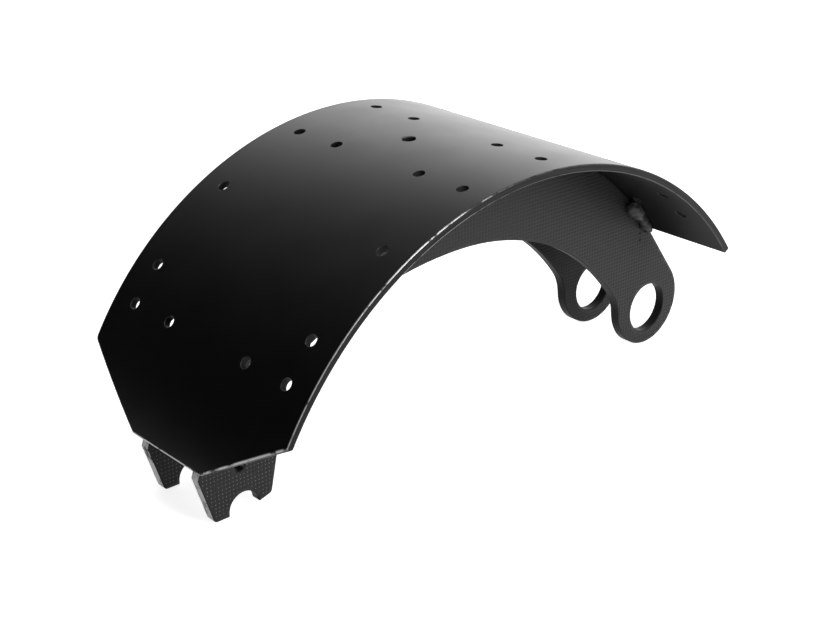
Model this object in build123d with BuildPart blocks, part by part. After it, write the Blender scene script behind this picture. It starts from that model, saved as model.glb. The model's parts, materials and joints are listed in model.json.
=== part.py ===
"""Brake shoe of a truck's drum brake: a rolled table welded on two stamped webs.

The origin is the middle of the anchor pin's bore. +Y runs along the pin, +Z is up, and the cam end
lies towards -X. The shoe stands on the eyes at its anchor end and on the feet at its cam end.
Sketches of upright plates count from the drum's axis, and angles turn about it from +X to +Z.
"""

import os
from math import acos, atan2, cos, degrees, hypot, radians, sin

from build123d import *

# Anchor pin: its bore through both webs
pin_bore_diameter = 30.0
pin_depth = 25.5  # from the table's outside to the pin's middle
pin_angle = 19.2

# Table: the curved plate under the linings
table_radius = 187.5  # outside, where the linings seat
table_thickness = 4.0
table_width = 164.0
table_anchor_angle = 35.1
table_cam_angle = 160.5
table_cam_width = 59.0
table_taper_angle = 10.2  # how far before the cam end its sides turn in
table_side_round = 3.0
table_cam_round = 2.5
table_anchor_round = 1.0
table_edge_bevel = 0.3

# Rivet holes: two linings, each held by rows of four, two, two and four
rivet_hole_diameter = 6.5
rivet_middle_angle = 93.5
rivet_row_pitch = 16.7  # degrees
rivet_end_row_pitch = 7.1  # degrees
rivet_outer_spacing = 128.0
rivet_inner_spacing = 65.0
middle_hole_diameter = 7.5
middle_hole_y = 5.6

# Webs: the two upright plates
web_thickness = 6.0
web_gap = 38.0
web_crown_depth = 52.0
web_crown_x = -2.4  # the arch is flatter on the cam's side of its crown
web_overhang_angle = 1.5  # how far the webs reach past the table's cam end
web_edge_bevel = 0.25

# Anchor eye: its rim is centred a little above the bore
eye_radius = 26.2
eye_rim_rise = 3.4
eye_throat_angle = 168.6  # where the arch runs into the rim, about the rim's centre
eye_throat_radius = 28.0

# Cam end: places count from the foot's outer corner
foot_inset = 8.2  # from the webs' corner at the table
foot_round = 2.5
seat_diameter = 18.0
seat_x = 18.0
seat_z = 1.8
seat_lip_angle = 67.7  # where the round seat ends, about its centre
relief_x = 22.5
relief_z = 7.5
lobe_tip_x = 27.4
lobe_tip_z = 2.0
lobe_heel_x = 34.9
lobe_heel_z = 4.3
lobe_round = 2.2
tip_throat_x = 49.0
tip_throat_z = 70.0
tip_throat_radius = 12.0
spring_hole_diameter = 6.5
spring_hole_x = 16.2
spring_hole_z = 26.0

# Weld beads: short runs in the corner of web and table, counted from the table's ends
bead_web_leg = 5.5
bead_table_leg = 8.7
bead_rise = 1.2  # how far it bulges past the straight line from leg to leg
bead_end_bevel = 2.0
bead_length_angle = 7.2
bead_anchor_inset_angle = 0.3
bead_cam_inset_angle = 2.0

# Worked out from the above
table_arc_angle = table_cam_angle - table_anchor_angle
web_radius = table_radius - table_thickness
crown_z = web_radius - web_crown_depth
pin_x = (table_radius - pin_depth) * cos(radians(pin_angle))
pin_z = (table_radius - pin_depth) * sin(radians(pin_angle))
eye_x = pin_x
eye_z = pin_z + eye_rim_rise
stand_z = eye_z - eye_radius
web_face_y = web_gap / 2 + web_thickness
web_cam_angle = table_cam_angle + web_overhang_angle


def on_circle(x, z, radius, angle):
    """A point of a circle about (x, z)."""
    return (x + radius * cos(radians(angle)), z + radius * sin(radians(angle)))


def from_foot(across, up):
    """A point of the cam end, counted from the foot's outer corner."""
    return (foot_corner[0] + across, foot_corner[1] + up)


def drum_plane(y):
    """The upright plane at y whose own origin is on the drum's axis, with +X right and +Z up."""
    return Plane(origin=(-pin_x, y, -pin_z), x_dir=(1, 0, 0), z_dir=(0, -1, 0))


def table_plane(angle):
    """The plane that touches the table's outside at an angle, with its own x along the drum's axis."""
    x, z = on_circle(-pin_x, -pin_z, table_radius, angle)
    return Plane(origin=(x, 0, z), x_dir=(0, 1, 0), z_dir=(cos(radians(angle)), 0, sin(radians(angle))))


os.makedirs("parts", exist_ok=True)

# ---- Table ----

# The sides turn in over this stretch, a triangle cut off each corner of the blank
corner_middle_angle = table_cam_angle - table_taper_angle / 2
corner_half_length = table_radius * sin(radians(table_taper_angle / 2))
corner_side = table_width / 2
corner_end = table_cam_width / 2
cut_depth = 2 * table_thickness

with BuildPart() as table:
    with BuildSketch(drum_plane(table_width / 2)):
        with BuildLine():
            outside = CenterArc((0, 0), table_radius, table_anchor_angle, table_arc_angle)
            inside = CenterArc((0, 0), web_radius, table_anchor_angle, table_arc_angle)
            Line(outside @ 0, inside @ 0)
            Line(outside @ 1, inside @ 1)
        make_face()
    extrude(amount=table_width)

    # Cut-off corners at the cam end; a cut reaches past the blank's edges by one thickness
    past = table_thickness
    slope = (corner_side - corner_end) / (2 * corner_half_length)
    with BuildSketch(table_plane(corner_middle_angle)):
        with BuildLine():
            Polyline(
                (corner_side + slope * past, -corner_half_length - past),
                (corner_end - slope * past, corner_half_length + past),
                (corner_side + slope * past, corner_half_length + past),
                close=True,
            )
        make_face()
        mirror(about=Plane.YZ)
    extrude(amount=cut_depth, both=True, mode=Mode.SUBTRACT)

    # Round corners, and both faces bevelled all round
    through_sheet = table.edges().filter_by(lambda edge: edge.length < 1.5 * table_thickness)
    cam_corners, side_corners, anchor_corners = [
        through_sheet.sort_by(Axis.X)[first : first + 2] for first in (0, 2, 4)
    ]
    fillet(cam_corners, table_cam_round)
    fillet(side_corners, table_side_round)
    fillet(anchor_corners, table_anchor_round)
    sheet_faces = table.faces().sort_by(SortBy.AREA)[-2:]
    chamfer(sheet_faces.edges(), table_edge_bevel)

    # Rivet rows, counted from the middle of the arc to both ends
    for end in (-1, 1):
        for row in (0.5, 1.5, 2.5, 2.5 + rivet_end_row_pitch / rivet_row_pitch):
            spacings = [rivet_outer_spacing]
            if row not in (1.5, 2.5):
                spacings.append(rivet_inner_spacing)
            with BuildSketch(table_plane(rivet_middle_angle + end * row * rivet_row_pitch)):
                for spacing in spacings:
                    with GridLocations(spacing, 0, 2, 1):
                        Circle(rivet_hole_diameter / 2)
            extrude(amount=cut_depth, both=True, mode=Mode.SUBTRACT)

    with BuildSketch(table_plane(rivet_middle_angle)):
        with Locations((middle_hole_y, 0)):
            Circle(middle_hole_diameter / 2)
    extrude(amount=cut_depth, both=True, mode=Mode.SUBTRACT)

table.part.label = "table"
export_step(table.part, "parts/table.step")

# ---- Webs ----

# A straight edge runs from the table's anchor end to where it touches the eye's rim
anchor_corner = on_circle(0, 0, web_radius, table_anchor_angle)
corner_from_eye = (anchor_corner[0] - eye_x, anchor_corner[1] - eye_z)
corner_direction = degrees(atan2(corner_from_eye[1], corner_from_eye[0]))
shoulder_angle = corner_direction - degrees(acos(eye_radius / hypot(*corner_from_eye)))
shoulder = on_circle(eye_x, eye_z, eye_radius, shoulder_angle)

eye_throat = on_circle(eye_x, eye_z, eye_radius, eye_throat_angle)
cam_corner = on_circle(0, 0, web_radius, web_cam_angle)
arch_crown = (web_crown_x, crown_z)
foot_x = cam_corner[0] + foot_inset
foot_corner = (foot_x, stand_z)
seat = from_foot(seat_x, seat_z)
relief = from_foot(relief_x, relief_z)
lobe_tip = from_foot(lobe_tip_x, lobe_tip_z)
lobe_heel = from_foot(lobe_heel_x, lobe_heel_z)
tip_throat = from_foot(tip_throat_x, tip_throat_z)
spring_hole = from_foot(spring_hole_x, spring_hole_z)

# The roller seat opens downwards: an upright wall at the foot, a flared one at the lobe
seat_radius = seat_diameter / 2
seat_wall_x = seat[0] - seat_radius
seat_lip = on_circle(*seat, seat_radius, seat_lip_angle)
below_feet = stand_z - web_thickness

for web_name, first_face_y in (("right_web", -web_gap / 2), ("left_web", web_face_y)):
    with BuildPart() as web:
        with BuildSketch(drum_plane(first_face_y)) as outline:
            with BuildLine():
                CenterArc((0, 0), web_radius, table_anchor_angle, web_cam_angle - table_anchor_angle)
                Line(anchor_corner, shoulder)
                CenterArc((eye_x, eye_z), eye_radius, shoulder_angle, eye_throat_angle - shoulder_angle - 360)
                TangentArc(arch_crown, eye_throat, tangent=(1, 0))
                TangentArc(arch_crown, tip_throat, tangent=(-1, 0))
                Polyline(tip_throat, lobe_heel, lobe_tip, (seat_wall_x, stand_z), foot_corner, cam_corner)
            make_face()
            for corner, radius in (
                (eye_throat, eye_throat_radius),
                (tip_throat, tip_throat_radius),
                (lobe_heel, lobe_round),
                (foot_corner, foot_round),
            ):
                fillet(outline.vertices().sort_by_distance(corner)[0], radius)
            with Locations(seat):
                Circle(seat_radius, mode=Mode.SUBTRACT)
            with BuildLine():
                Polyline(
                    seat,
                    (seat_wall_x, seat[1]),
                    (seat_wall_x, below_feet),
                    (lobe_tip[0], below_feet),
                    lobe_tip,
                    relief,
                    seat_lip,
                    close=True,
                )
            make_face(mode=Mode.SUBTRACT)
            with Locations((pin_x, pin_z)):
                Circle(pin_bore_diameter / 2, mode=Mode.SUBTRACT)
            with Locations(spring_hole):
                Circle(spring_hole_diameter / 2, mode=Mode.SUBTRACT)
        extrude(amount=web_thickness)
        plate_faces = web.faces().filter_by(Axis.Y).sort_by(SortBy.AREA)[-2:]
        chamfer(plate_faces.edges(), web_edge_bevel)

    web.part.label = web_name
    export_step(web.part, f"parts/{web_name}.step")

# ---- Weld beads ----

drum_axis = Axis((-pin_x, 0, -pin_z), (0, -1, 0))
bead_slant = hypot(bead_web_leg, bead_table_leg)

for side_name, side in (("right", -1), ("left", 1)):
    # The section's own x runs outwards from the drum's axis and its own y along it
    corner = (web_radius, side * web_face_y)
    web_toe = (web_radius - bead_web_leg, side * web_face_y)
    table_toe = (web_radius, side * (web_face_y + bead_table_leg))
    crest = (
        web_radius - bead_web_leg / 2 - bead_rise * bead_table_leg / bead_slant,
        side * (web_face_y + bead_table_leg / 2 + bead_rise * bead_web_leg / bead_slant),
    )
    for end_name, first_angle in (
        ("anchor", table_anchor_angle + bead_anchor_inset_angle),
        ("cam", table_cam_angle - bead_cam_inset_angle - bead_length_angle),
    ):
        outwards = (cos(radians(first_angle)), 0, sin(radians(first_angle)))
        along = (-sin(radians(first_angle)), 0, cos(radians(first_angle)))
        with BuildPart() as bead:
            with BuildSketch(Plane(origin=(-pin_x, 0, -pin_z), x_dir=outwards, z_dir=along)):
                with BuildLine():
                    Line(web_toe, corner)
                    Line(corner, table_toe)
                    ThreePointArc(table_toe, crest, web_toe)
                make_face()
            revolve(axis=drum_axis, revolution_arc=bead_length_angle)
            end_faces = bead.faces().filter_by(lambda face: abs(face.normal_at().Y) < 0.01)
            end_faces = end_faces.filter_by(GeomType.PLANE)
            chamfer([face.edges().sort_by(SortBy.LENGTH)[-1] for face in end_faces], bead_end_bevel)

        bead.part.label = f"{side_name}_{end_name}_weld"
        export_step(bead.part, f"parts/{bead.part.label}.step")
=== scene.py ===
import json
from math import atan2, ceil, cos, hypot, pi, radians, sin, tan

import bmesh
import bpy
from bpy.props import FloatProperty, FloatVectorProperty, IntProperty, PointerProperty
from mathutils import Matrix, Vector, noise


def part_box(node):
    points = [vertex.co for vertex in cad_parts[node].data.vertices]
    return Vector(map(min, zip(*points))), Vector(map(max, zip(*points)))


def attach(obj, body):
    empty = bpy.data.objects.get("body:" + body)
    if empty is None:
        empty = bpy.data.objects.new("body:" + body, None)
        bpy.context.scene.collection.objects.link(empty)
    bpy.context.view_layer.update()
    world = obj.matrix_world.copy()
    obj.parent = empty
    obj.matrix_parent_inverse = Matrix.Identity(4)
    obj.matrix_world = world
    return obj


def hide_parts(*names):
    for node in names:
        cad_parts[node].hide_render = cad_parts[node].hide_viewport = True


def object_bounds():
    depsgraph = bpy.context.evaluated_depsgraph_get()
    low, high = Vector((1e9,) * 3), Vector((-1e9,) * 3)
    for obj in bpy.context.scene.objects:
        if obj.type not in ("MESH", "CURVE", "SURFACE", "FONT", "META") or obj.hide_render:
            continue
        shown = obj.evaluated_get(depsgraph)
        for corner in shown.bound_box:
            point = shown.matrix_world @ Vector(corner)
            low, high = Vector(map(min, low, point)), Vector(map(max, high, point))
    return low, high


bl_info = {
    "name": "Brake Shoe",
    "version": (1, 0, 0),
    "blender": (4, 5, 0),
    "location": "View3D > Sidebar > Brake Shoe",
    "description": "Rolled table, dimpled webs, weld beads, black enamel and a studio for the brake shoe",
    "category": "Object",
}

# The frame's axes: +Y along the anchor pin, +Z up, the cam end towards -X. Sizes are in metres.
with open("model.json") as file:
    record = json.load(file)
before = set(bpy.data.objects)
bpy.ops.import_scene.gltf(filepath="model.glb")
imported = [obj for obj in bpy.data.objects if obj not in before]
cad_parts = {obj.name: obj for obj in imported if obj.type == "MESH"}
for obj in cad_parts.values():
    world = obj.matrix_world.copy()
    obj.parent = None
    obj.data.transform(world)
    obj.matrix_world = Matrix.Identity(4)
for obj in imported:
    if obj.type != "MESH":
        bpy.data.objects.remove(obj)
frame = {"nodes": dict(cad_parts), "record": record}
frame_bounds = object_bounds()

MOUNTS = {mount["name"]: mount for mount in frame["record"]["mounts"]}
MILLIMETRE = 0.001
SAME_LENGTH = 1e-6
ON_THE_LINE = 1e-7


# ---- Measures taken from the frame ----

def drum_axis():
    """(x, z) of the drum's axis: where the radial lines of two rivet rows cross."""
    first, second = MOUNTS["rivets_cam_end_outer"], MOUNTS["rivets_anchor_end_outer"]
    (x1, _, z1), (x2, _, z2) = first["pos_m"], second["pos_m"]
    (ax, _, az), (bx, _, bz) = first["axis"], second["axis"]
    reach = ((x2 - x1) * bz - (z2 - z1) * bx) / (ax * bz - az * bx)
    return x1 + reach * ax, z1 + reach * az


DRUM_X, DRUM_Z = drum_axis()


def drum_polar(point):
    """(radius, angle) of a point about the drum's axis, from +X towards +Z."""
    x, z = point[0] - DRUM_X, point[2] - DRUM_Z
    return hypot(x, z), atan2(z, x)


def drum_point(radius, angle, y):
    """The point at a radius and angle about the drum's axis."""
    return Vector((DRUM_X + radius * cos(angle), y, DRUM_Z + radius * sin(angle)))


def node_angles(name):
    """Lowest and highest angle that a node reaches about the drum's axis."""
    angles = [drum_polar(vertex.co)[1] for vertex in frame["nodes"][name].data.vertices]
    return min(angles), max(angles)


TABLE_THICKNESS = MOUNTS["middle_hole"]["dims"]["length_mm"] * MILLIMETRE
TABLE_RADIUS = drum_polar(MOUNTS["middle_hole"]["pos_m"])[0] + TABLE_THICKNESS / 2
TABLE_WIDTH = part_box("table")[1][1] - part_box("table")[0][1]
ANCHOR_END_ANGLE, CAM_END_ANGLE = node_angles("table")
WEB_RADIUS = TABLE_RADIUS - TABLE_THICKNESS
WEB_FACE_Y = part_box("left_web")[1][1]
STAND_Z = frame_bounds[0][2]


# ---- Sizes and colours that can be changed ----

class TableSizes(bpy.types.PropertyGroup):
    """Shape of the rolled table where the frame's record doesn't give it"""

    corner_angle: FloatProperty(
        name="Corner angle", description="Where the sides turn in", default=radians(150.3), subtype="ANGLE"
    )
    cam_width: FloatProperty(
        name="Cam end width", description="Width left at the cam end", default=0.059, unit="LENGTH"
    )
    right_side_round: FloatProperty(
        name="Right side round", description="Radius where the right side turns in",
        default=0.0015, unit="LENGTH",
    )
    left_side_round: FloatProperty(
        name="Left side round", description="Radius where the left side turns in",
        default=0.004, unit="LENGTH",
    )
    cam_round: FloatProperty(
        name="Cam round", description="Radius of the corners at the cam end", default=0.0025, unit="LENGTH"
    )
    anchor_round: FloatProperty(
        name="Anchor round", description="Radius of the corners at the anchor end",
        default=0.0006, unit="LENGTH",
    )
    edge_round: FloatProperty(
        name="Edge round", description="Radius of the sheet's worn edges", default=0.0006, unit="LENGTH"
    )
    cam_edge_round: FloatProperty(
        name="Cam edge round", description="Radius of the sheet's edges round the cam end", default=0.0013,
        unit="LENGTH",
    )
    rivet_edge_round: FloatProperty(
        name="Rivet edge round", description="Radius of the rivet holes' rims", default=0.0002, unit="LENGTH"
    )
    roll_step: FloatProperty(
        name="Roll step", description="Angle between two bend lines", default=radians(1.0), subtype="ANGLE"
    )


class WebSizes(bpy.types.PropertyGroup):
    """Dimple grid pressed into both faces of the webs"""

    pitch: FloatProperty(name="Pitch", description="Between dimples", default=0.0022, unit="LENGTH")
    dimple_width: FloatProperty(
        name="Dimple width", description="Side of a dimple's mouth", default=0.00125, unit="LENGTH"
    )
    dimple_floor: FloatProperty(
        name="Dimple floor", description="Side of a dimple's floor", default=0.00045, unit="LENGTH"
    )
    dimple_depth: FloatProperty(
        name="Dimple depth", description="Depth of a dimple", default=0.0004, unit="LENGTH"
    )
    row_x: FloatProperty(
        name="Row X", description="One dimple's place along X, from the drum's axis",
        default=-0.1694, unit="LENGTH",
    )
    row_z: FloatProperty(
        name="Row Z", description="One dimple's height, from the drum's axis", default=0.0555, unit="LENGTH"
    )
    punch_width: FloatProperty(
        name="Punch width", description="Side of a punch mark's mouth", default=0.0019, unit="LENGTH"
    )
    punch_depth: FloatProperty(
        name="Punch depth", description="Depth of a punch mark", default=0.0045, unit="LENGTH"
    )
    upper_punch: FloatVectorProperty(
        name="Upper punch", description="The upper mark's place, from the drum's axis",
        default=(0.1419, 0.0, 0.1038), subtype="XYZ", size=3,
    )
    lower_punch: FloatVectorProperty(
        name="Lower punch", description="The lower mark's place, from the drum's axis",
        default=(0.1432, 0.0, 0.0997), subtype="XYZ", size=3,
    )


class WeldSizes(bpy.types.PropertyGroup):
    """Lumps of the weld beads"""

    head_radius: FloatProperty(
        name="Head radius", description="Radius of the lump where a bead was begun",
        default=0.0050, unit="LENGTH",
    )
    tail_radius: FloatProperty(
        name="Tail radius", description="Radius of the drop at the table's end",
        default=0.0028, unit="LENGTH",
    )
    drops: IntProperty(name="Drops", description="Drops in one bead", default=6, min=2)
    ripple: FloatProperty(
        name="Ripple", description="Height of the bead's ripples", default=0.0007, unit="LENGTH"
    )
    voxel: FloatProperty(name="Grain", description="Size of the bead's mesh", default=0.00045, unit="LENGTH")


class EnamelLook(bpy.types.PropertyGroup):
    """Black enamel of all the pieces"""

    table_color: FloatVectorProperty(
        name="Table", description="Enamel on the table",
        default=(0.0025, 0.0025, 0.0027), subtype="COLOR", size=3,
    )
    web_color: FloatVectorProperty(
        name="Webs", description="Enamel on the webs",
        default=(0.022, 0.022, 0.0225), subtype="COLOR", size=3,
    )
    cut_color: FloatVectorProperty(
        name="Cut edges", description="Thin enamel on the sheet's cut edges",
        default=(0.023, 0.023, 0.0235), subtype="COLOR", size=3,
    )
    weld_color: FloatVectorProperty(
        name="Welds", description="Enamel on the weld beads",
        default=(0.055, 0.055, 0.056), subtype="COLOR", size=3,
    )
    torn_color: FloatVectorProperty(
        name="Torn streaks", description="Darker streaks where a cut edge tore",
        default=(0.013, 0.013, 0.0133), subtype="COLOR", size=3,
    )
    # Light metal: bare steel on the table's scuffed edges, and painted highlight round the cam end, on the
    # webs' dimple floors and on the feet's front edges
    bare_and_highlight_color: FloatVectorProperty(
        name="Worn edge", description="Steel where the enamel has rubbed thin",
        default=(0.33, 0.325, 0.32), subtype="COLOR", size=3,
    )
    table_roughness: FloatProperty(
        name="Table roughness", description="Roughness of the table's enamel", default=0.34, subtype="FACTOR"
    )
    web_roughness: FloatProperty(
        name="Web roughness", description="Roughness of the webs' enamel", default=0.42, subtype="FACTOR"
    )
    cut_roughness: FloatProperty(
        name="Cut roughness", description="Roughness of the cut edges", default=0.45, subtype="FACTOR"
    )
    table_gloss: FloatProperty(
        name="Table gloss", description="Strength of the table's reflection", default=0.32, subtype="FACTOR"
    )
    web_gloss: FloatProperty(
        name="Web gloss", description="Strength of the webs' reflection", default=0.2, subtype="FACTOR"
    )


class StudioSetup(bpy.types.PropertyGroup):
    """Camera, floor and lights"""

    camera_azimuth: FloatProperty(
        name="Azimuth", description="Camera's angle round the shoe", default=radians(-41.39), subtype="ANGLE"
    )
    camera_elevation: FloatProperty(
        name="Elevation", description="Camera's angle above the horizon",
        default=radians(23.36), subtype="ANGLE",
    )
    camera_roll: FloatProperty(
        name="Roll", description="Camera's turn about its own axis", default=radians(-0.36), subtype="ANGLE"
    )
    camera_distance: FloatProperty(
        name="Distance", description="Camera to aim", default=0.855, unit="LENGTH"
    )
    aim: FloatVectorProperty(
        name="Aim", description="Where the camera looks",
        default=(-0.16738, 0.00026, 0.03907), subtype="XYZ", size=3,
    )
    lens: FloatProperty(name="Lens", description="Focal length in millimetres", default=68.61)
    softbox_strength: FloatProperty(
        name="Softbox", description="Brightness of the graded softbox", default=2.25
    )
    front_power: FloatProperty(
        name="Front", description="Power of the front lamp in watts", default=0.9
    )
    overhead_power: FloatProperty(
        name="Overhead", description="Power of the overhead lamp in watts", default=6.0
    )


# ---- Mesh helpers ----

def new_object(name, mesh):
    """Links a mesh into the scene as an object at the origin."""
    obj = bpy.data.objects.new(name, mesh)
    bpy.context.scene.collection.objects.link(obj)
    return obj


def ramp(value, start, end):
    """0 before the start, 1 past the end and straight between."""
    return min(max((value - start) / (end - start), 0.0), 1.0)


def finish_piece(obj, node, material):
    """Puts the piece in its node's place, with its material and slot."""
    obj.data.materials.clear()
    obj.data.materials.append(material)
    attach(obj, "root")
    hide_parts(node)


# ---- Table ----

# How bright and bare the sheet's edge gets: scuffed to steel along the sides and the rivet holes, and
# painted highlight round the cam end; the patches grow past 1
RIVET_RIM_WEAR = 0.25
# Painted highlight: round the cam end the face is made light and metallic, standing for light that falls on
# it from the left
CAM_END_HIGHLIGHT = 2.5
CAM_SIDE_WEAR = 1.4
ANCHOR_SIDE_WEAR = 0.2
CAM_END_BAND = radians(0.7)
WEAR_BEGINS, WEAR_FULL = radians(97), radians(111)
# How far round an edge's rounding the rings of vertices stand, and between which of them it gets its light
# patches of bare steel and painted highlight
RING_SHARES = (0.0, 0.25, 0.5, 0.75, 1.0)
PATCH_BAND_FROM, PATCH_BAND_TO = 0.2, 0.8
CORNER_STEPS, HOLE_SIDES = 8, 40
# The flat blank's normals: a cut wall's Z is less than the first, and the underside's is below the second
WALL_Z, UNDERSIDE_Z = 0.2, -0.9


def edge_layers(bm):
    """Layers of the sheet's edge: the way inwards, the edge's rounding, and how far round it a vertex is."""
    directions, numbers = bm.verts.layers.float_vector, bm.verts.layers.float
    if "inwards" not in directions:
        directions.new("inwards")
        numbers.new("rounding")
        numbers.new("turned")
    return directions["inwards"], numbers["rounding"], numbers["turned"]


def blank_outline(bm, sizes):
    """Adds the flat blank's outline at Z = 0. X is minus the arc length, so it rolls the right way out."""
    half = TABLE_WIDTH / 2
    cam_half = sizes.cam_width / 2
    turn = atan2(half - cam_half, TABLE_RADIUS * (CAM_END_ANGLE - sizes.corner_angle))
    corners = (
        (ANCHOR_END_ANGLE, -half, sizes.anchor_round, pi / 2),
        (ANCHOR_END_ANGLE, half, sizes.anchor_round, pi / 2),
        (sizes.corner_angle, half, sizes.left_side_round, turn),
        (CAM_END_ANGLE, cam_half, sizes.cam_round, pi / 2 - turn),
        (CAM_END_ANGLE, -cam_half, sizes.cam_round, pi / 2 - turn),
        (sizes.corner_angle, -half, sizes.right_side_round, turn),
    )
    verts = [bm.verts.new((-TABLE_RADIUS * angle, y, 0)) for angle, y, _, _ in corners]
    bm.faces.new(verts)
    for vert, (_, _, radius, turned) in zip(verts, corners):
        bmesh.ops.bevel(
            bm, geom=[vert], affect="VERTICES", offset=radius * tan(turned / 2), segments=CORNER_STEPS,
            profile=0.5, material=-1,
        )
    face = bm.faces[:][0]
    face.normal_update()
    if face.normal.z < 0:
        bmesh.ops.reverse_faces(bm, faces=[face])

    # Each vertex leans halfway between its two edges; the cam end's edges are rounded more than the others
    inwards, rounding, _ = edge_layers(bm)
    outline = face.verts[:]
    for before, vert, after in zip(outline[-1:] + outline[:-1], outline, outline[1:] + outline[:1]):
        ahead, behind = (after.co - vert.co).normalized(), (vert.co - before.co).normalized()
        first, second = Vector((-behind.y, behind.x, 0)), Vector((-ahead.y, ahead.x, 0))
        vert[inwards] = (first + second) / (1 + first.dot(second))
        tilt = atan2(abs(vert[inwards].x), abs(vert[inwards].y))
        cam_share = min(tilt / turn, 1.0) if -vert.co.x / TABLE_RADIUS > pi / 2 else 0.0
        vert[rounding] = sizes.edge_round + (sizes.cam_edge_round - sizes.edge_round) * cam_share
    edges = face.edges[:]
    bmesh.ops.delete(bm, geom=[face], context="FACES_ONLY")
    return edges


def table_holes(sizes):
    """(angle, y, radius, rim's rounding) of every hole, from the frame's mounts."""
    for name, mount in MOUNTS.items():
        angle = drum_polar(mount["pos_m"])[1]
        if name == "middle_hole":
            yield angle, mount["pos_m"][1], mount["dims"]["r_mm"] * MILLIMETRE, sizes.edge_round
        elif name.startswith("rivets_"):
            radius = mount["dims"]["hole_r_mm"] * MILLIMETRE
            for side in (-1, 1):
                yield angle, side * mount["dims"]["pcd_mm"] * MILLIMETRE / 2, radius, sizes.rivet_edge_round


def ring_raised(bm, edges, share):
    """Extrudes a loop of the sheet's edge a share of the way round its rounding. Returns the new edges."""
    inwards, rounding, turned = edge_layers(bm)
    grown = bmesh.ops.extrude_edge_only(bm, edges=edges)["geom"]
    for vert in (item for item in grown if isinstance(item, bmesh.types.BMVert)):
        radius = vert[rounding]
        inset = radius * (cos(vert[turned] * pi / 2) - cos(share * pi / 2))
        vert.co += inset * vert[inwards]
        vert.co.z = TABLE_THICKNESS / 2 - radius * (1 - sin(share * pi / 2))
        vert[turned] = share
    return [item for item in grown if isinstance(item, bmesh.types.BMEdge)]


def flat_half_table(bm, sizes):
    """The blank's outer half: walls up from the middle at Z = 0, rounded edges and the holed sheet."""
    loops = [blank_outline(bm, sizes)]
    inwards, rounding, _ = edge_layers(bm)
    for angle, y, radius, rim in table_holes(sizes):
        middle = Vector((-TABLE_RADIUS * angle, y, 0))
        circle = bmesh.ops.create_circle(
            bm, segments=HOLE_SIDES, radius=radius, matrix=Matrix.Translation(middle)
        )
        for vert in circle["verts"]:
            vert[inwards] = (vert.co - middle).normalized()
            vert[rounding] = rim
        loops.append(list(dict.fromkeys(edge for vert in circle["verts"] for edge in vert.link_edges)))
    for share in RING_SHARES:
        loops = [ring_raised(bm, loop, share) for loop in loops]
    rims = [edge for loop in loops for edge in loop]
    bmesh.ops.triangle_fill(bm, use_beauty=True, use_dissolve=False, edges=rims)


def rolled(place):
    """A flat blank's point rolled to the drum's radius, and the ways along and out of the sheet there."""
    angle = -place.x / TABLE_RADIUS
    outwards = Vector((cos(angle), 0, sin(angle)))
    along = Vector((sin(angle), 0, -cos(angle)))
    point = drum_point(TABLE_RADIUS - TABLE_THICKNESS / 2 + place.z, angle, place.y)
    return point, along, outwards


def sheet_wear_and_highlight_at(angle, edge_rounding, sizes):
    """How bright and bare the sheet's edge gets: most round the cam end, where it is painted highlight,
    least at the anchor end and the rivets.
    """
    if abs(edge_rounding - sizes.rivet_edge_round) < SAME_LENGTH:
        return RIVET_RIM_WEAR
    if angle > CAM_END_ANGLE - CAM_END_BAND:
        return CAM_END_HIGHLIGHT
    return ANCHOR_SIDE_WEAR + (CAM_SIDE_WEAR - ANCHOR_SIDE_WEAR) * ramp(angle, WEAR_BEGINS, WEAR_FULL)


def bent_blank(bm, sizes):
    """Mirrors the blank's outer half to the full thickness and cuts it at the bend lines."""
    bmesh.ops.mirror(
        bm, geom=bm.verts[:] + bm.edges[:] + bm.faces[:], matrix=Matrix.Identity(4), merge_dist=SAME_LENGTH,
        axis="Z",
    )
    bmesh.ops.remove_doubles(bm, verts=bm.verts[:], dist=SAME_LENGTH)
    bmesh.ops.recalc_face_normals(bm, faces=bm.faces[:])
    bends = ceil((CAM_END_ANGLE - ANCHOR_END_ANGLE) / sizes.roll_step)
    for bend in range(1, bends):
        angle = ANCHOR_END_ANGLE + (CAM_END_ANGLE - ANCHOR_END_ANGLE) * bend / bends
        bmesh.ops.bisect_plane(
            bm, geom=bm.verts[:] + bm.edges[:] + bm.faces[:], dist=ON_THE_LINE,
            plane_co=(-TABLE_RADIUS * angle, 0, 0), plane_no=(1, 0, 0),
        )
    bm.normal_update()


def roll_table(sizes):
    """The finished table: its blank, marked for the enamel and rolled, with true normals at its edges."""
    bm = bmesh.new()
    flat_half_table(bm, sizes)
    bent_blank(bm, sizes)

    cut_edge = bm.faces.layers.float.new("cut_edge")
    underside = bm.faces.layers.float.new("underside")
    for face in bm.faces:
        face[cut_edge] = 1.0 if abs(face.normal.z) < WALL_Z else 0.0
        face[underside] = 1.0 if face.normal.z < UNDERSIDE_Z else 0.0
        face.smooth = True
    wear_and_highlight_layer = bm.verts.layers.float.new("sheet_wear_and_highlight")
    flat_place = bm.verts.layers.float_vector.new("flat_place")
    inwards, rounding, turned = edge_layers(bm)
    normals = []
    for vert in bm.verts:
        share = vert[turned]
        sideways = -vert[inwards].normalized() * cos(share * pi / 2)
        upright = sin(share * pi / 2) if vert.co.z > 0 else -sin(share * pi / 2)
        angle = -vert.co.x / TABLE_RADIUS
        in_patch_band = PATCH_BAND_FROM < share < PATCH_BAND_TO
        vert[wear_and_highlight_layer] = sheet_wear_and_highlight_at(angle, vert[rounding], sizes) if in_patch_band else 0.0
        vert[flat_place] = vert.co
        point, along, outwards = rolled(vert.co)
        vert.co = point
        normals.append(along * sideways.x + Vector((0, sideways.y, 0)) + outwards * upright)
    mesh = bpy.data.meshes.new("rolled_table")
    bm.to_mesh(mesh)
    bm.free()
    mesh.normals_split_custom_set_from_vertices([normal.normalized() for normal in normals])
    return mesh


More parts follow.
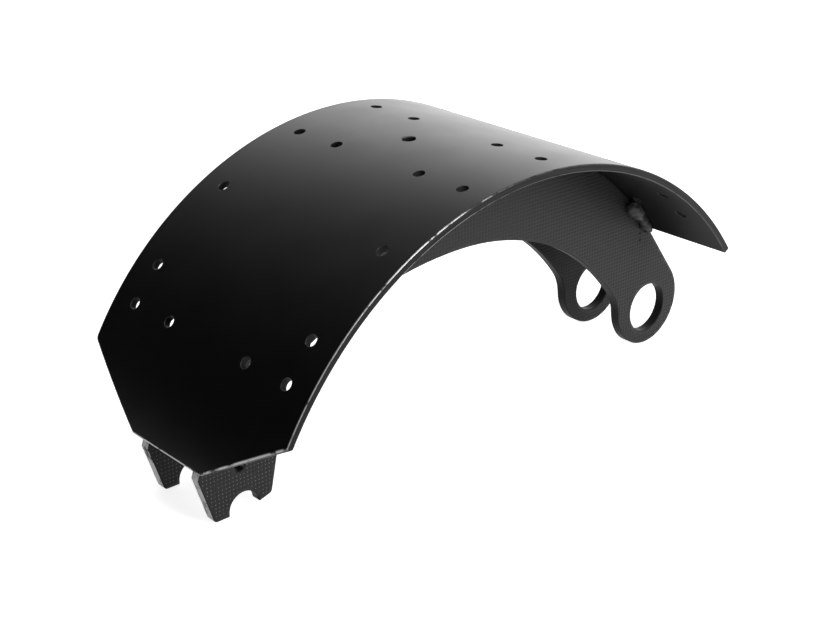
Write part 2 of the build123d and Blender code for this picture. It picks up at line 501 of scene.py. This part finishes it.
# ---- Webs ----

WHOLE_CELL = 0.97  # share of a whole cell's area, so that cells cut by the outline stay flat
PUNCH_FLOOR_SHARE = 0.8
# Painted highlight: how bright the dimples' floors get towards the cam end, and where it begins and is full
DIMPLE_HIGHLIGHT = 0.65
HIGHLIGHT_BEGINS_X, HIGHLIGHT_FULL_X = -0.20, -0.27
FEET_X = -0.30
PLATE_Y, FRONT_X = 0.999, -0.7  # normals of the plate's two faces, and of the feet's front edges
SHARP_ANGLE = radians(24)


def grid_lines(lowest, highest, phase, pitch):
    """Places of the grid's lines, half a pitch from the dimples, between two ends."""
    first = ceil((lowest - phase) / pitch - 0.5)
    place = phase + (first + 0.5) * pitch
    while place < highest:
        yield place
        place += pitch


def cut_grid(bm, low, high, sizes):
    """Cuts the plate's two faces along the grid's lines, and dissolves the edges that aren't the grid's."""
    cut_edge = bm.faces.layers.float["cut_edge"]
    for axis, phase in ((0, DRUM_X + sizes.row_x), (2, DRUM_Z + sizes.row_z)):
        direction = Vector((0, 0, 0))
        direction[axis] = 1.0
        for place in grid_lines(low[axis], high[axis], phase, sizes.pitch):
            plate = [face for face in bm.faces if face[cut_edge] == 0.0]
            edges = list(dict.fromkeys(edge for face in plate for edge in face.edges))
            verts = list(dict.fromkeys(vert for edge in edges for vert in edge.verts))
            bmesh.ops.bisect_plane(
                bm, geom=verts + edges + plate, dist=ON_THE_LINE, plane_co=direction * place,
                plane_no=direction,
            )

    leftover = []
    for edge in bm.edges:
        if len(edge.link_faces) == 2 and all(face[cut_edge] == 0.0 for face in edge.link_faces):
            run = edge.verts[0].co - edge.verts[1].co
            if abs(run.x) > SAME_LENGTH and abs(run.z) > SAME_LENGTH:
                leftover.append(edge)
    bmesh.ops.dissolve_edges(bm, edges=leftover, use_verts=True, use_face_split=False)


def whole_cells(bm, sizes):
    """The grid's cells that the plate's outline leaves whole."""
    cut_edge = bm.faces.layers.float["cut_edge"]
    least = WHOLE_CELL * sizes.pitch ** 2
    return [
        face for face in bm.faces
        if len(face.verts) == 4 and face[cut_edge] == 0.0 and face.calc_area() > least
    ]


def press(bm, cells, mouth, floor, depth, pitch):
    """Presses a square dent into each cell of the grid."""
    rim, slope = (pitch - mouth) / 2, (mouth - floor) / 2
    bmesh.ops.inset_individual(bm, faces=cells, thickness=rim, use_even_offset=True)
    bmesh.ops.inset_individual(bm, faces=cells, thickness=slope, depth=-depth, use_even_offset=True)


def press_dents(bm, node, cells, outer_y, sizes):
    """Presses the dimples, and on the right web the two punch marks, and returns the dimples' floors."""
    punched = []
    if node == "right_web":
        for place in (sizes.upper_punch, sizes.lower_punch):
            mark = Vector((DRUM_X + place[0], outer_y, DRUM_Z + place[2]))
            punched.append(min(cells, key=lambda face: (face.calc_center_median() - mark).length))
    dimples = [face for face in cells if face not in punched]
    press(bm, dimples, sizes.dimple_width, sizes.dimple_floor, sizes.dimple_depth, sizes.pitch)
    if punched:
        floor = PUNCH_FLOOR_SHARE * sizes.punch_width
        press(bm, punched, sizes.punch_width, floor, sizes.punch_depth, sizes.pitch)
    return dimples


def dimpled_web(node, sizes):
    """A merged copy of a web's plate with the dimple grid pressed into both faces."""
    bm = bmesh.new()
    bm.from_mesh(frame["nodes"][node].data)
    bmesh.ops.remove_doubles(bm, verts=bm.verts[:], dist=SAME_LENGTH)
    cut_edge = bm.faces.layers.float.new("cut_edge")
    wear_and_highlight = bm.faces.layers.float.new("wear_and_highlight")
    for face in bm.faces:
        face[cut_edge] = 0.0 if abs(face.normal.y) > PLATE_Y else 1.0
    low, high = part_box(node)
    cut_grid(bm, low, high, sizes)
    cells = whole_cells(bm, sizes)
    if not cells:
        raise RuntimeError(f"no room for dimples on {node}")
    dimples = press_dents(bm, node, cells, low[1], sizes)

    # Painted highlight: the dimples' floors and the feet's front edges are made bright at the cam end,
    # standing for light that catches them from the left
    for face in dimples:
        face[wear_and_highlight] = DIMPLE_HIGHLIGHT * ramp(face.calc_center_median().x, HIGHLIGHT_BEGINS_X, HIGHLIGHT_FULL_X)
    for face in bm.faces:
        if face[cut_edge] == 1.0 and face.normal.x < FRONT_X and face.calc_center_median().x < FEET_X:
            face[wear_and_highlight] = 1.0
    flat_place = bm.verts.layers.float_vector.new("flat_place")
    for vert in bm.verts:
        vert[flat_place] = vert.co.xzy
    for face in bm.faces:
        face.smooth = True
    mesh = bpy.data.meshes.new(f"dimpled_{node}")
    bm.to_mesh(mesh)
    bm.free()
    mesh.set_sharp_from_angle(angle=SHARP_ANGLE)
    return mesh


# ---- Weld beads ----

FIRST_SEED, SEED_STEP = 3.1, 7.3
DROP_WOBBLE = 0.3
WOBBLE_STEP, WOBBLE_ROW = 1.7, 0.3  # where in the noise a drop reads its wobble
DROP_CLEAR = 0.5  # share of its radius that a drop's middle stands off the web and the table
BEAD_SMOOTHINGS = 6
RIPPLE_SCALE = 260
GRAIN_SCALE, GRAIN_SHARE = 900, 0.35
BEAD_SUNK = 1 * MILLIMETRE


def bead_side(node):
    """1 for a bead on the left web and -1 for one on the right web."""
    return 1 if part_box(node)[0][1] > 0 else -1


def row_of_drops(node, sizes, seed):
    """Overlapping drops in the corner of web and table, largest where the bead was begun."""
    low_angle, high_angle = node_angles(node)
    table_end, begun = low_angle, high_angle
    if CAM_END_ANGLE - high_angle < low_angle - ANCHOR_END_ANGLE:
        table_end, begun = high_angle, low_angle
    side = bead_side(node)
    bm = bmesh.new()
    for drop in range(sizes.drops):
        share = drop / (sizes.drops - 1)
        wobble = noise.noise(Vector((seed, drop * WOBBLE_STEP, WOBBLE_ROW)))
        radius = sizes.tail_radius + (sizes.head_radius - sizes.tail_radius) * share
        radius *= 1 + DROP_WOBBLE * wobble
        clear = DROP_CLEAR * radius
        angle = table_end + (begun - table_end) * share
        place = drum_point(WEB_RADIUS - clear, angle, side * (WEB_FACE_Y + clear))
        bmesh.ops.create_icosphere(bm, subdivisions=3, radius=radius, matrix=Matrix.Translation(place))
    mesh = bpy.data.meshes.new(f"bead_{node}")
    bm.to_mesh(mesh)
    bm.free()
    return mesh


def lumpy_bead(node, sizes, seed):
    """Drops run together in the corner of web and table, from a lump to a flat tail at the table's end."""
    obj = new_object(f"bead_{node}", row_of_drops(node, sizes, seed))
    remesh = obj.modifiers.new("Run together", "REMESH")
    remesh.mode = "VOXEL"
    remesh.voxel_size = sizes.voxel
    evaluated = obj.evaluated_get(bpy.context.evaluated_depsgraph_get())
    run_together = bpy.data.meshes.new_from_object(evaluated)
    obj.modifiers.clear()

    bm = bmesh.new()
    bm.from_mesh(run_together)
    for _ in range(BEAD_SMOOTHINGS):
        bmesh.ops.smooth_vert(
            bm, verts=bm.verts[:], factor=0.5, use_axis_x=True, use_axis_y=True, use_axis_z=True
        )
    bm.normal_update()
    for vert in bm.verts:
        coarse = noise.noise(vert.co * RIPPLE_SCALE + Vector((seed, 0, 0)))
        fine = noise.noise(vert.co * GRAIN_SCALE + Vector((0, seed, 0)))
        vert.co += vert.normal * sizes.ripple * (coarse + GRAIN_SHARE * fine)
    # The bead stops just inside the web and the table's sheet
    side = bead_side(node)
    for vert in bm.verts:
        radius, angle = drum_polar(vert.co)
        y = side * max(side * vert.co.y, WEB_FACE_Y - BEAD_SUNK)
        vert.co = drum_point(min(radius, WEB_RADIUS + BEAD_SUNK), angle, y)
    for face in bm.faces:
        face.smooth = True
    bm.to_mesh(obj.data)
    bm.free()
    bpy.data.meshes.remove(run_together)
    return obj


# ---- Finishes ----

# How metallic the light patches are, bare steel and painted highlight alike
BARE_AND_HIGHLIGHT_METALLIC = 0.8
UNDERSIDE_ROUGHER = 0.2
# Painted shade: the underside reflects less, standing for the shoe's shadow on the floor that it mirrors
UNDERSIDE_SHADE_GLOSS = 0.5
CUT_LESS_GLOSS = 0.65


def node_link(tree, out_socket, in_socket):
    """Joins two sockets."""
    tree.links.new(out_socket, in_socket)


def mottled_enamel_group():
    """Enamel that varies a little over the surface: tone, gloss and the fine skin of the coat."""
    name = "Mottled Enamel"
    if name in bpy.data.node_groups:
        return bpy.data.node_groups[name]
    group = bpy.data.node_groups.new(name, "ShaderNodeTree")
    for label, kind, default in (
        ("Color", "NodeSocketColor", (0.01, 0.01, 0.01, 1.0)),
        ("Roughness", "NodeSocketFloat", 0.35),
        ("Mottle", "NodeSocketFloat", 0.1),
        ("Skin Scale", "NodeSocketFloat", 700.0),
    ):
        socket = group.interface.new_socket(name=label, in_out="INPUT", socket_type=kind)
        socket.default_value = default
    for label, kind in (
        ("Color", "NodeSocketColor"),
        ("Roughness", "NodeSocketFloat"),
        ("Height", "NodeSocketFloat"),
    ):
        group.interface.new_socket(name=label, in_out="OUTPUT", socket_type=kind)
    nodes = group.nodes
    given = nodes.new("NodeGroupInput")
    result = nodes.new("NodeGroupOutput")
    place = nodes.new("ShaderNodeTexCoord")
    broad = nodes.new("ShaderNodeTexNoise")
    broad.inputs["Scale"].default_value = 38.0
    broad.inputs["Detail"].default_value = 4.0
    skin = nodes.new("ShaderNodeTexNoise")
    skin.inputs["Detail"].default_value = 2.0
    centred = nodes.new("ShaderNodeMath")
    centred.operation = "SUBTRACT"
    centred.inputs[1].default_value = 0.5
    amount = nodes.new("ShaderNodeMath")
    amount.operation = "MULTIPLY"
    rough = nodes.new("ShaderNodeMath")
    rough.operation = "ADD"
    tone = nodes.new("ShaderNodeMath")
    tone.operation = "MULTIPLY_ADD"
    tone.inputs[1].default_value = 2.0
    tone.inputs[2].default_value = 1.0
    shade = nodes.new("ShaderNodeVectorMath")
    shade.operation = "SCALE"
    node_link(group, place.outputs["Object"], broad.inputs["Vector"])
    node_link(group, place.outputs["Object"], skin.inputs["Vector"])
    node_link(group, given.outputs["Skin Scale"], skin.inputs["Scale"])
    node_link(group, broad.outputs["Fac"], centred.inputs[0])
    node_link(group, centred.outputs[0], amount.inputs[0])
    node_link(group, given.outputs["Mottle"], amount.inputs[1])
    node_link(group, amount.outputs[0], rough.inputs[0])
    node_link(group, given.outputs["Roughness"], rough.inputs[1])
    node_link(group, amount.outputs[0], tone.inputs[0])
    node_link(group, given.outputs["Color"], shade.inputs[0])
    node_link(group, tone.outputs[0], shade.inputs["Scale"])
    node_link(group, shade.outputs["Vector"], result.inputs["Color"])
    node_link(group, rough.outputs[0], result.inputs["Roughness"])
    node_link(group, skin.outputs["Fac"], result.inputs["Height"])
    return group


def wear_and_highlight_group():
    """Turns a piece's own mark into broken patches: bare steel on scuffed edges, and painted highlight on
    the cam end and the webs.
    """
    name = "Rubbed Patches"
    if name in bpy.data.node_groups:
        return bpy.data.node_groups[name]
    group = bpy.data.node_groups.new(name, "ShaderNodeTree")
    for label, default in (("Mark", 0.0), ("Patch Scale", 120.0), ("Cover", 0.5)):
        socket = group.interface.new_socket(name=label, in_out="INPUT", socket_type="NodeSocketFloat")
        socket.default_value = default
    group.interface.new_socket(name="Mask", in_out="OUTPUT", socket_type="NodeSocketFloat")
    nodes = group.nodes
    given = nodes.new("NodeGroupInput")
    result = nodes.new("NodeGroupOutput")
    place = nodes.new("ShaderNodeTexCoord")
    patches = nodes.new("ShaderNodeTexNoise")
    patches.inputs["Detail"].default_value = 5.0
    patches.inputs["Roughness"].default_value = 0.65
    bare = nodes.new("ShaderNodeMapRange")
    less = nodes.new("ShaderNodeMath")
    less.operation = "SUBTRACT"
    less.inputs[0].default_value = 1.0
    masked = nodes.new("ShaderNodeMath")
    masked.operation = "MULTIPLY"
    masked.use_clamp = True
    sharper = nodes.new("ShaderNodeMath")
    sharper.operation = "ADD"
    sharper.inputs[1].default_value = 0.12
    node_link(group, place.outputs["Object"], patches.inputs["Vector"])
    node_link(group, given.outputs["Patch Scale"], patches.inputs["Scale"])
    node_link(group, given.outputs["Cover"], less.inputs[1])
    node_link(group, less.outputs[0], bare.inputs["From Min"])
    node_link(group, less.outputs[0], sharper.inputs[0])
    node_link(group, sharper.outputs[0], bare.inputs["From Max"])
    node_link(group, patches.outputs["Fac"], bare.inputs["Value"])
    node_link(group, bare.outputs["Result"], masked.inputs[0])
    node_link(group, given.outputs["Mark"], masked.inputs[1])
    node_link(group, masked.outputs[0], result.inputs["Mask"])
    return group


def sheared_group():
    """Streaks that run along a sheet's cut edge, from its place on the flat sheet."""
    name = "Sheared Streaks"
    if name in bpy.data.node_groups:
        return bpy.data.node_groups[name]
    group = bpy.data.node_groups.new(name, "ShaderNodeTree")
    group.interface.new_socket(name="Place", in_out="INPUT", socket_type="NodeSocketVector")
    group.interface.new_socket(name="Mask", in_out="OUTPUT", socket_type="NodeSocketFloat")
    nodes = group.nodes
    given = nodes.new("NodeGroupInput")
    result = nodes.new("NodeGroupOutput")
    stretched = nodes.new("ShaderNodeVectorMath")
    stretched.operation = "MULTIPLY"
    stretched.inputs[1].default_value = (35.0, 35.0, 1300.0)
    streaks = nodes.new("ShaderNodeTexNoise")
    streaks.inputs["Scale"].default_value = 1.0
    streaks.inputs["Detail"].default_value = 4.0
    level = nodes.new("ShaderNodeMapRange")
    level.inputs["From Min"].default_value = 0.38
    level.inputs["From Max"].default_value = 0.60
    node_link(group, given.outputs["Place"], stretched.inputs[0])
    node_link(group, stretched.outputs["Vector"], streaks.inputs["Vector"])
    node_link(group, streaks.outputs["Fac"], level.inputs["Value"])
    node_link(group, level.outputs["Result"], result.inputs["Mask"])
    return group


def scaled_by(tree, amount, factor, offset):
    """A socket's value times a factor plus an offset."""
    step = tree.nodes.new("ShaderNodeMath")
    step.operation = "MULTIPLY_ADD"
    step.inputs[1].default_value = factor
    step.inputs[2].default_value = offset
    node_link(tree, amount, step.inputs[0])
    return step.outputs[0]


def attribute_value(tree, name):
    """The socket of a piece's own attribute."""
    node = tree.nodes.new("ShaderNodeAttribute")
    node.attribute_name = name
    return node.outputs["Fac"]


def mixed_color(tree, factor, first, second):
    """A socket that goes from the first colour to the second; either may be a socket or a plain colour."""
    mix = tree.nodes.new("ShaderNodeMix")
    mix.data_type = "RGBA"
    node_link(tree, factor, mix.inputs["Factor"])
    for label, color in (("A", first), ("B", second)):
        if isinstance(color, bpy.types.NodeSocket):
            node_link(tree, color, mix.inputs[label])
        else:
            mix.inputs[label].default_value = (*color, 1.0)
    return mix.outputs["Result"]


def sheared_color(tree, look):
    """The thin enamel of a cut edge, with darker torn streaks along it."""
    flat_place = tree.nodes.new("ShaderNodeAttribute")
    flat_place.attribute_name = "flat_place"
    streaks = tree.nodes.new("ShaderNodeGroup")
    streaks.node_tree = sheared_group()
    node_link(tree, flat_place.outputs["Vector"], streaks.inputs["Place"])
    return mixed_color(tree, streaks.outputs["Mask"], look.torn_color, look.cut_color)


def enamel_material(name, look, color, roughness, gloss, mottle, mark, cover, skin_depth):
    """Satin black enamel: thinner on the piece's cut edges, light metal where its mark says, which is bare
    steel on scuffed edges and painted highlight at the cam end, and duller on the table's underside, with
    less gloss there as painted shade.
    """
    material = bpy.data.materials.new(name)
    material.use_nodes = True
    tree = material.node_tree
    nodes = tree.nodes
    shader = nodes["Principled BSDF"]
    cut_edge = attribute_value(tree, "cut_edge")
    underside = attribute_value(tree, "underside")
    enamel = nodes.new("ShaderNodeGroup")
    enamel.node_tree = mottled_enamel_group()
    enamel.inputs["Color"].default_value = (*color, 1.0)
    enamel.inputs["Roughness"].default_value = roughness
    enamel.inputs["Mottle"].default_value = mottle
    wear_and_highlight = nodes.new("ShaderNodeGroup")
    wear_and_highlight.node_tree = wear_and_highlight_group()
    wear_and_highlight.inputs["Cover"].default_value = cover
    node_link(tree, attribute_value(tree, mark), wear_and_highlight.inputs["Mark"])

    coat = mixed_color(tree, cut_edge, enamel.outputs["Color"], sheared_color(tree, look))
    # Light metal patches: bare steel on scuffed edges, painted highlight at the cam end
    worn_and_highlighted = mixed_color(tree, wear_and_highlight.outputs["Mask"], coat, look.bare_and_highlight_color)
    node_link(tree, worn_and_highlighted, shader.inputs["Base Color"])
    node_link(tree, scaled_by(tree, wear_and_highlight.outputs["Mask"], BARE_AND_HIGHLIGHT_METALLIC, 0.0), shader.inputs["Metallic"])

    sheen = nodes.new("ShaderNodeMix")
    sheen.data_type = "FLOAT"
    sheen.inputs["B"].default_value = look.cut_roughness
    duller = nodes.new("ShaderNodeMath")
    duller.operation = "ADD"
    node_link(tree, cut_edge, sheen.inputs["Factor"])
    node_link(tree, enamel.outputs["Roughness"], sheen.inputs["A"])
    node_link(tree, sheen.outputs["Result"], duller.inputs[0])
    node_link(tree, scaled_by(tree, underside, UNDERSIDE_ROUGHER, 0.0), duller.inputs[1])
    node_link(tree, duller.outputs[0], shader.inputs["Roughness"])

    # Less gloss on the cut edges, and on the underside as painted shade
    reflected = nodes.new("ShaderNodeMath")
    reflected.operation = "MULTIPLY_ADD"
    reflected.inputs[1].default_value = -CUT_LESS_GLOSS * gloss
    node_link(tree, cut_edge, reflected.inputs[0])
    node_link(tree, scaled_by(tree, underside, -UNDERSIDE_SHADE_GLOSS * gloss, gloss), reflected.inputs[2])
    node_link(tree, reflected.outputs[0], shader.inputs["Specular IOR Level"])

    skin = nodes.new("ShaderNodeBump")
    skin.inputs["Distance"].default_value = skin_depth
    node_link(tree, enamel.outputs["Height"], skin.inputs["Height"])
    node_link(tree, skin.outputs["Normal"], shader.inputs["Normal"])
    return material


# ---- Operators ----

class BRAKESHOE_OT_table(bpy.types.Operator):
    """Roll the table from its flat blank, with its rivet holes, its scuffed edges and the painted highlight
    round its cam end
    """

    bl_idname = "brakeshoe.table"
    bl_label = "Roll Table"

    def execute(self, context):
        look = context.scene.brakeshoe_enamel
        piece = new_object("rolled_table", roll_table(context.scene.brakeshoe_table))
        material = enamel_material(
            "table_enamel", look, look.table_color, look.table_roughness, look.table_gloss,
            mottle=0.1, mark="sheet_wear_and_highlight", cover=0.62, skin_depth=0.000004,
        )
        finish_piece(piece, "table", material)
        return {"FINISHED"}


class BRAKESHOE_OT_webs(bpy.types.Operator):
    """Press the dimple grid into both webs"""

    bl_idname = "brakeshoe.webs"
    bl_label = "Dimple Webs"

    def execute(self, context):
        look = context.scene.brakeshoe_enamel
        material = enamel_material(
            "web_enamel", look, look.web_color, look.web_roughness, look.web_gloss,
            mottle=0.16, mark="wear_and_highlight", cover=0.64, skin_depth=0.000012,
        )
        for node in ("left_web", "right_web"):
            piece = new_object(f"dimpled_{node}", dimpled_web(node, context.scene.brakeshoe_web))
            finish_piece(piece, node, material)
        return {"FINISHED"}


class BRAKESHOE_OT_welds(bpy.types.Operator):
    """Lay the weld beads in the corners of webs and table"""

    bl_idname = "brakeshoe.welds"
    bl_label = "Lay Weld Beads"

    def execute(self, context):
        look = context.scene.brakeshoe_enamel
        material = enamel_material(
            "weld_enamel", look, look.weld_color, look.web_roughness, look.web_gloss,
            mottle=0.2, mark="wear_and_highlight", cover=0.0, skin_depth=0.00003,
        )
        nodes = sorted(name for name in frame["nodes"] if name.endswith("_weld"))
        if not nodes:
            raise RuntimeError("the frame has no weld nodes")
        for index, node in enumerate(nodes):
            piece = lumpy_bead(node, context.scene.brakeshoe_weld, FIRST_SEED + SEED_STEP * index)
            finish_piece(piece, node, material)
        return {"FINISHED"}


# ---- Studio ----

FLOOR_REACH = 4.0
FLOOR_GLOW = 0.86  # with the lamps' light on top the floor is white, and in the shoe's shadow a little less
WORLD_LIGHT = 0.05
# Each lamp's place, its aim and its side
FRONT_LAMP = ((-0.06, -0.55, 0.32), (-0.08, 0, 0.09), 0.35)
OVERHEAD_LAMP = ((-0.30, 0.10, 1.5), (-0.15, 0, 0), 0.5)
FRONT_SPREAD = radians(90)
CLOTH_LEFT_FADE, CLOTH_UPPER_FADE = (0.0, 0.4), (0.59, 0.195)  # dark and full, as shares of the cloth


def look_along(place, aim, roll=0.0):
    """Where an object stands and turns so that its -Z looks at the aim."""
    back = (Vector(place) - Vector(aim)).normalized()
    turn = back.to_track_quat("Z", "Y").to_matrix().to_4x4()
    return Matrix.Translation(place) @ turn @ Matrix.Rotation(roll, 4, "Z")


def add_camera(setup):
    """The camera at its place round the shoe."""
    azimuth, elevation = setup.camera_azimuth, setup.camera_elevation
    back = Vector((sin(azimuth) * cos(elevation), -cos(azimuth) * cos(elevation), sin(elevation)))
    data = bpy.data.cameras.new("camera")
    data.sensor_width = 36.0
    data.lens = setup.lens
    camera = bpy.data.objects.new("camera", data)
    bpy.context.scene.collection.objects.link(camera)
    place = Vector(setup.aim) + back * setup.camera_distance
    camera.matrix_world = look_along(place, setup.aim, setup.camera_roll)
    bpy.context.scene.camera = camera


def seen_directly(tree):
    """1 for rays that look straight, by a mirror or through glass, and 0 for those that only light."""
    nodes = tree.nodes
    rays = nodes.new("ShaderNodeLightPath")
    mirrored = nodes.new("ShaderNodeMath")
    mirrored.operation = "ADD"
    mirrored.use_clamp = True
    through = nodes.new("ShaderNodeMath")
    through.operation = "ADD"
    through.use_clamp = True
    node_link(tree, rays.outputs["Is Camera Ray"], mirrored.inputs[0])
    node_link(tree, rays.outputs["Is Glossy Ray"], mirrored.inputs[1])
    node_link(tree, mirrored.outputs[0], through.inputs[0])
    node_link(tree, rays.outputs["Is Transmission Ray"], through.inputs[1])
    return through.outputs[0]


def floor_material():
    """Pale floor that is white where it is looked at and keeps a soft shadow."""
    material = bpy.data.materials.new("studio_floor")
    material.use_nodes = True
    tree = material.node_tree
    shader = tree.nodes["Principled BSDF"]
    shader.inputs["Base Color"].default_value = (0.82, 0.82, 0.82, 1.0)
    shader.inputs["Roughness"].default_value = 0.9
    shader.inputs["Specular IOR Level"].default_value = 0.0
    shader.inputs["Emission Color"].default_value = (1.0, 1.0, 1.0, 1.0)
    glow = tree.nodes.new("ShaderNodeMath")
    glow.operation = "MULTIPLY"
    glow.inputs[1].default_value = FLOOR_GLOW
    node_link(tree, seen_directly(tree), glow.inputs[0])
    node_link(tree, glow.outputs[0], shader.inputs["Emission Strength"])
    return material


def softbox_material(strength):
    """A lit cloth that fades towards its left and upper edges."""
    material = bpy.data.materials.new("softbox_cloth")
    material.use_nodes = True
    tree = material.node_tree
    nodes = tree.nodes
    nodes.remove(nodes["Principled BSDF"])
    place = nodes.new("ShaderNodeTexCoord")
    parts = nodes.new("ShaderNodeSeparateXYZ")
    node_link(tree, place.outputs["UV"], parts.inputs[0])
    fades = []
    for axis, (low, high) in (("X", CLOTH_LEFT_FADE), ("Y", CLOTH_UPPER_FADE)):
        fade = nodes.new("ShaderNodeMapRange")
        fade.interpolation_type = "SMOOTHSTEP"
        fade.inputs["From Min"].default_value = low
        fade.inputs["From Max"].default_value = high
        node_link(tree, parts.outputs[axis], fade.inputs["Value"])
        fades.append(fade)
    both = nodes.new("ShaderNodeMath")
    both.operation = "MULTIPLY"
    level = nodes.new("ShaderNodeMath")
    level.operation = "MULTIPLY"
    level.inputs[1].default_value = strength
    glow = nodes.new("ShaderNodeEmission")
    node_link(tree, fades[0].outputs["Result"], both.inputs[0])
    node_link(tree, fades[1].outputs["Result"], both.inputs[1])
    node_link(tree, both.outputs[0], level.inputs[0])
    node_link(tree, level.outputs[0], glow.inputs["Strength"])
    node_link(tree, glow.outputs["Emission"], nodes["Material Output"].inputs["Surface"])
    return material


def add_softbox(setup):
    """A graded softbox that stands on the floor behind the shoe, on its anchor side."""
    width, height, distance = 2.4, 2.2, 1.0
    heading, middle_x = radians(58), -0.10
    outwards = Vector((cos(heading), sin(heading), 0))
    leftwards = Vector((-sin(heading), cos(heading), 0))
    foot = Vector((middle_x, 0, STAND_Z)) + outwards * distance
    bm = bmesh.new()
    uv_layer = bm.loops.layers.uv.new("cloth")
    corners = ((1, 0), (0, 0), (0, 1), (1, 1))
    verts = []
    for across, up in corners:
        place = foot + leftwards * width * (0.5 - across) + Vector((0, 0, height * up))
        verts.append(bm.verts.new(place))
    face = bm.faces.new(verts)
    for loop, corner in zip(face.loops, corners):
        loop[uv_layer].uv = corner
    mesh = bpy.data.meshes.new("softbox")
    bm.to_mesh(mesh)
    bm.free()
    softbox = new_object("softbox", mesh)
    softbox.data.materials.append(softbox_material(setup.softbox_strength))
    softbox.visible_camera = False


def add_flag():
    """A black board on the cam side, with a foot on the floor, that keeps the table's end dark."""
    bm = bmesh.new()
    board, foot, front, foot_back, back, top = -0.62, -0.42, -0.25, 0.75, 1.5, 2.2
    low = STAND_Z + MILLIMETRE
    for corners in (
        ((board, front, low), (board, back, low), (board, back, top), (board, front, top)),
        ((board, 0.0, low), (foot, 0.0, low), (foot, foot_back, low), (board, foot_back, low)),
    ):
        bm.faces.new([bm.verts.new(corner) for corner in corners])
    mesh = bpy.data.meshes.new("flag")
    bm.to_mesh(mesh)
    bm.free()
    flag = new_object("flag", mesh)
    material = bpy.data.materials.new("flag_board")
    material.use_nodes = True
    shader = material.node_tree.nodes["Principled BSDF"]
    shader.inputs["Base Color"].default_value = (0.003, 0.003, 0.003, 1.0)
    shader.inputs["Roughness"].default_value = 1.0
    flag.data.materials.append(material)
    flag.visible_camera = False


def add_lamp(name, place, aim, side, power, spread=pi):
    """A soft square lamp that the camera doesn't see."""
    data = bpy.data.lights.new(name, "AREA")
    data.size = side
    data.energy = power
    data.spread = spread
    lamp = bpy.data.objects.new(name, data)
    bpy.context.scene.collection.objects.link(lamp)
    lamp.matrix_world = look_along(place, aim)
    lamp.visible_camera = False


def set_world():
    """White where it is looked at, and dim as a light."""
    world = bpy.data.worlds.new("studio_room")
    bpy.context.scene.world = world
    world.use_nodes = True
    tree = world.node_tree
    background = tree.nodes["Background"]
    level = tree.nodes.new("ShaderNodeMapRange")
    level.inputs["To Min"].default_value = WORLD_LIGHT
    level.inputs["To Max"].default_value = 1.0
    node_link(tree, seen_directly(tree), level.inputs["Value"])
    node_link(tree, level.outputs["Result"], background.inputs["Strength"])
    background.inputs["Color"].default_value = (1.0, 1.0, 1.0, 1.0)


class BRAKESHOE_OT_stage(bpy.types.Operator):
    """Set up the floor, lights and camera"""

    bl_idname = "brakeshoe.stage"
    bl_label = "Set Up Stage"

    def execute(self, context):
        setup = context.scene.brakeshoe_studio
        bm = bmesh.new()
        bmesh.ops.create_grid(
            bm, x_segments=1, y_segments=1, size=FLOOR_REACH, matrix=Matrix.Translation((0, 0, STAND_Z))
        )
        mesh = bpy.data.meshes.new("studio_floor")
        bm.to_mesh(mesh)
        bm.free()
        floor = new_object("studio_floor", mesh)
        floor.data.materials.append(floor_material())
        add_softbox(setup)
        add_flag()
        add_lamp("front", *FRONT_LAMP, setup.front_power, FRONT_SPREAD)
        add_lamp("overhead", *OVERHEAD_LAMP, setup.overhead_power)
        set_world()
        add_camera(setup)
        context.scene.view_settings.view_transform = "Standard"
        return {"FINISHED"}


class BRAKESHOE_PT_sidebar(bpy.types.Panel):
    """Lists the pieces of the brake shoe"""

    bl_idname = "BRAKESHOE_PT_sidebar"
    bl_label = "Brake Shoe"
    bl_space_type = "VIEW_3D"
    bl_region_type = "UI"
    bl_category = "Brake Shoe"

    def draw(self, context):
        for operator in OPERATORS:
            self.layout.operator(operator.bl_idname)


SETTINGS = (
    ("brakeshoe_table", TableSizes),
    ("brakeshoe_web", WebSizes),
    ("brakeshoe_weld", WeldSizes),
    ("brakeshoe_enamel", EnamelLook),
    ("brakeshoe_studio", StudioSetup),
)
OPERATORS = (BRAKESHOE_OT_table, BRAKESHOE_OT_webs, BRAKESHOE_OT_welds, BRAKESHOE_OT_stage)


def register():
    for name, settings in SETTINGS:
        bpy.utils.register_class(settings)
        setattr(bpy.types.Scene, name, PointerProperty(type=settings))
    for operator in OPERATORS:
        bpy.utils.register_class(operator)
    bpy.utils.register_class(BRAKESHOE_PT_sidebar)


def unregister():
    bpy.utils.unregister_class(BRAKESHOE_PT_sidebar)
    for operator in reversed(OPERATORS):
        bpy.utils.unregister_class(operator)
    for name, settings in reversed(SETTINGS):
        delattr(bpy.types.Scene, name)
        bpy.utils.unregister_class(settings)


def main():
    register()
    bpy.ops.brakeshoe.table()
    bpy.ops.brakeshoe.webs()
    bpy.ops.brakeshoe.welds()
    bpy.ops.brakeshoe.stage()


if __name__ == "__main__":
    main()
